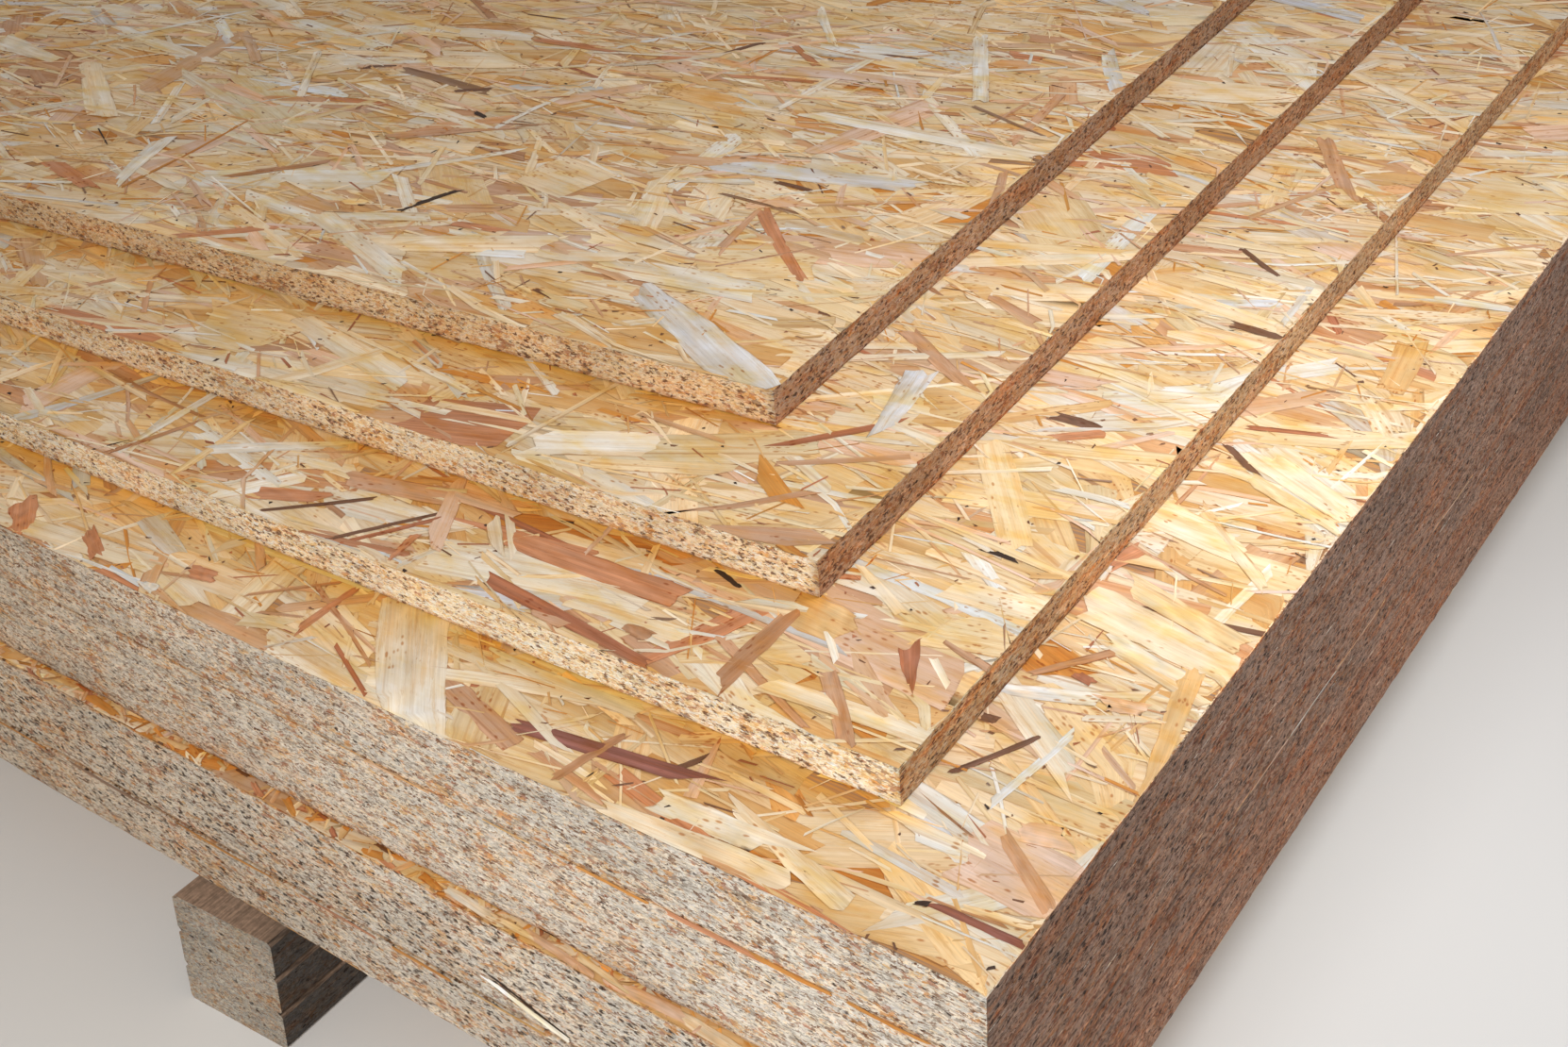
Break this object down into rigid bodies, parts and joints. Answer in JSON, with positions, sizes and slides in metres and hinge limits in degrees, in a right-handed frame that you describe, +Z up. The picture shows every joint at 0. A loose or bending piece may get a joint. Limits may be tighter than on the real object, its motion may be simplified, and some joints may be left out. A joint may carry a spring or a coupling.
{
  "type": "stack of osb panels",
  "caption": "Flat stack of full-size oriented strand boards on built-up bearers, its uppermost boards stepped back and fanned a little from the near corner.",
  "frame": {"origin": "middle of the stack's box, level with the underside of the bearers", "axes": "+X across the boards, +Y along them away from the stepped corner, +Z up"},
  "size_m": [1.4882, 2.7998, 0.3015],
  "materials": {
    "board": "raw pressed strand faces, sawn edges",
    "bearer": "raw sawn board edges, dusty"
  },
  "bodies": {
    "root": {"bearer_1_strip_1": "bearer", "bearer_1_strip_2": "bearer", "bearer_1_strip_3": "bearer", "bearer_2_strip_1": "bearer", "bearer_2_strip_2": "bearer", "bearer_2_strip_3": "bearer", "bearer_3_strip_1": "bearer", "bearer_3_strip_2": "bearer", "bearer_3_strip_3": "bearer", "bearer_4_strip_1": "bearer", "bearer_4_strip_2": "bearer", "bearer_4_strip_3": "bearer", "bottom_book_board_1": "board", "bottom_book_board_2": "board", "low_step_board": "board", "lower_book_board_1": "board", "lower_book_board_2": "board", "lower_book_board_3": "board", "middle_book_board_1": "board", "middle_book_board_2": "board", "middle_book_board_3": "board", "middle_step_board": "board", "top_board": "board", "upper_book_board_1": "board", "upper_book_board_2": "board"}
  },
  "joints": []
}
